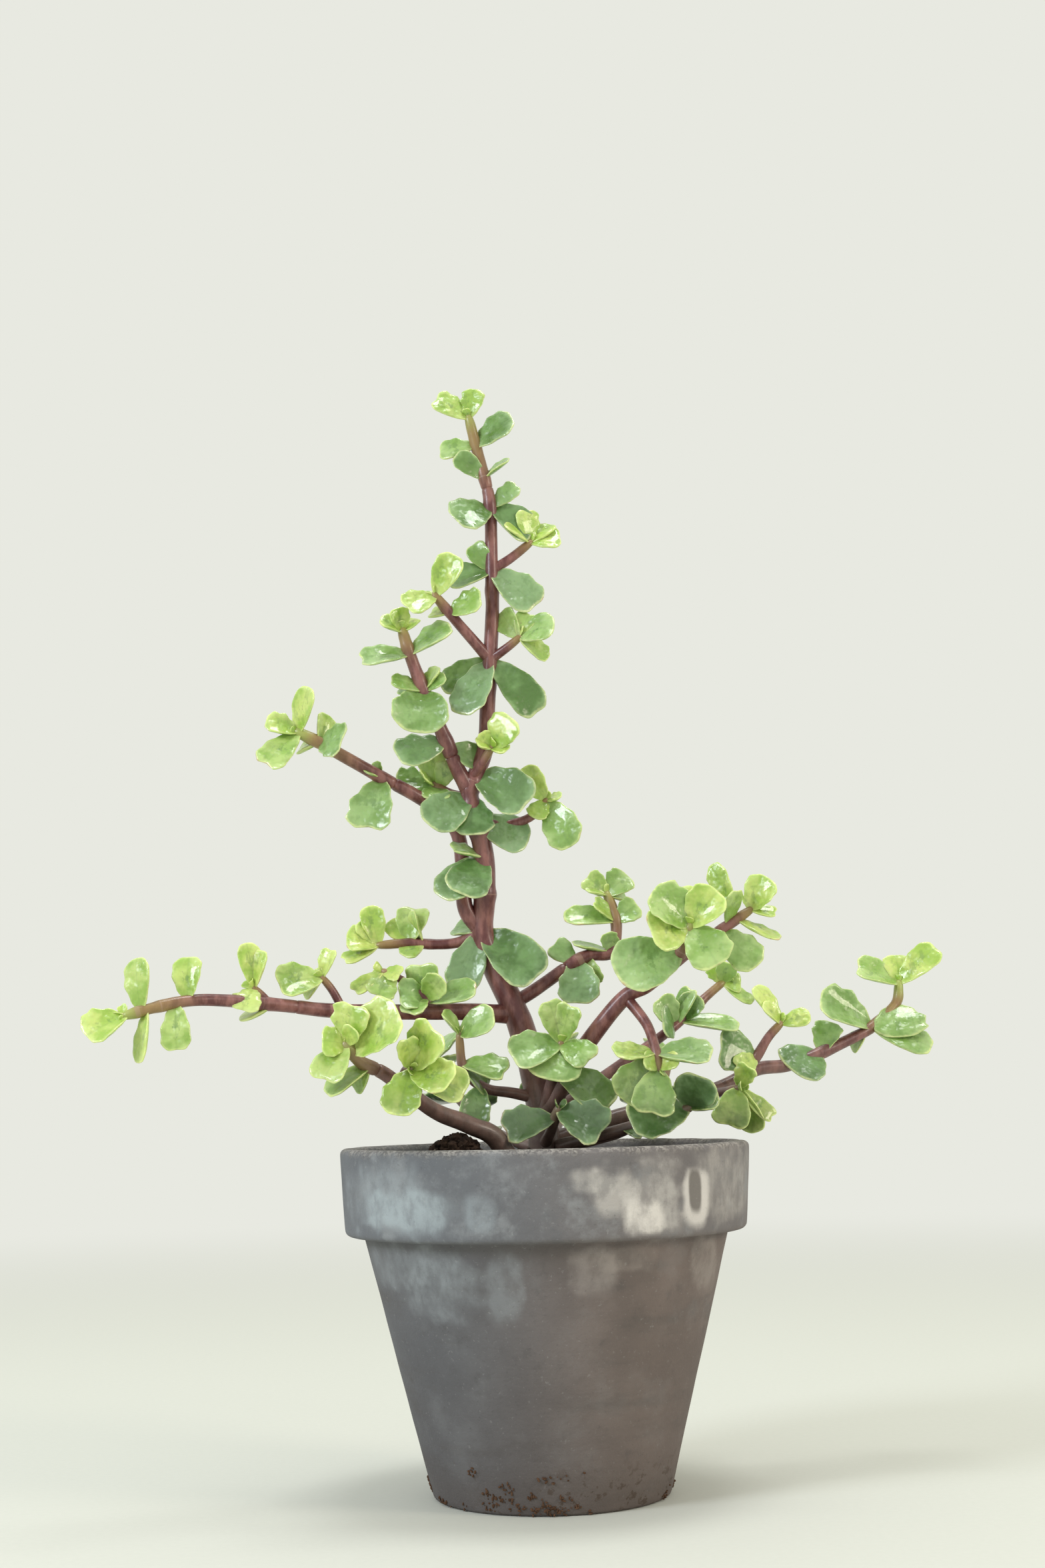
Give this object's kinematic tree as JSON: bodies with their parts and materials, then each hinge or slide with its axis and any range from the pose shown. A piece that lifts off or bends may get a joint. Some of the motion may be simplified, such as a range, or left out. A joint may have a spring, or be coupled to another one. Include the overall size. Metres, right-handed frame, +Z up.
{
  "type": "potted dwarf jade plant",
  "caption": "Leafy dwarf jade with thin purple-brown branches and small fleshy leaves, growing in soil in a tapered round grey clay pot with a broad rim and a drainage hole.",
  "frame": {"origin": "on the pot's axis, at the middle of the foot that the pot stands on", "axes": "+Z up, -Y towards the viewer (the plant's best side), +X to the viewer's right"},
  "size_m": [0.2529, 0.1198, 0.3295],
  "materials": {
    "clay": "matte, unglazed, with pale lime marks",
    "soil": "loose crumbs of composted bark, matte",
    "bark": "smooth purple-brown bark with a slight sheen",
    "growing_tip": "soft young stem and waxy leaves",
    "leafy_shoot": "reddish stem and waxy leaves",
    "leaf": "waxy, grey-green with a cream margin"
  },
  "bodies": {
    "root": {"clay_pot": "clay", "potting_soil": "soil", "trunk": "bark", "trunk_tip": "growing_tip", "dark_right_branch": "bark", "dark_right_branch_tip": "growing_tip", "foot_twig": "leafy_shoot", "front_left_branch": "bark", "front_left_branch_tip": "growing_tip", "front_rosette_twig": "leafy_shoot", "front_shoot": "leafy_shoot", "hanging_right_twig": "leafy_shoot", "inner_twig": "leafy_shoot", "left_arm": "bark", "left_arm_tip": "growing_tip", "left_branch_inner_twig": "leafy_shoot", "left_branch_middle_twig": "leafy_shoot", "left_branch_outer_twig": "leafy_shoot", "left_leader": "bark", "left_leader_tip": "growing_tip", "left_side_twig": "leafy_shoot", "long_left_branch": "bark", "long_left_branch_tip": "growing_tip", "long_right_branch": "bark", "long_right_branch_tip": "growing_tip", "low_left_twig": "leafy_shoot", "low_right_twig": "leafy_shoot", "middle_right_twig": "leafy_shoot", "rear_left_shoot": "leafy_shoot", "rear_right_shoot": "leafy_shoot", "rear_right_twig": "leafy_shoot", "rear_shoot": "leafy_shoot", "right_branch": "bark", "right_branch_tip": "growing_tip", "right_fork": "leafy_shoot", "right_side_shoot": "leafy_shoot", "right_twig": "leafy_shoot", "rim_twig": "leafy_shoot", "upper_front_twig": "leafy_shoot", "upper_left_twig": "leafy_shoot", "upper_right_twig": "leafy_shoot", "trunk_leaf_1": "leaf", "trunk_leaf_2": "leaf", "trunk_leaf_3": "leaf", "trunk_leaf_4": "leaf", "trunk_leaf_5": "leaf", "trunk_leaf_6": "leaf", "trunk_leaf_7": "leaf", "trunk_leaf_8": "leaf", "trunk_leaf_9": "leaf", "trunk_leaf_10": "leaf", "trunk_leaf_11": "leaf", "trunk_leaf_12": "leaf", "trunk_leaf_13": "leaf", "trunk_leaf_14": "leaf", "trunk_leaf_15": "leaf", "trunk_leaf_16": "leaf", "trunk_leaf_17": "leaf", "trunk_leaf_18": "leaf", "trunk_leaf_19": "leaf"}
  },
  "joints": []
}
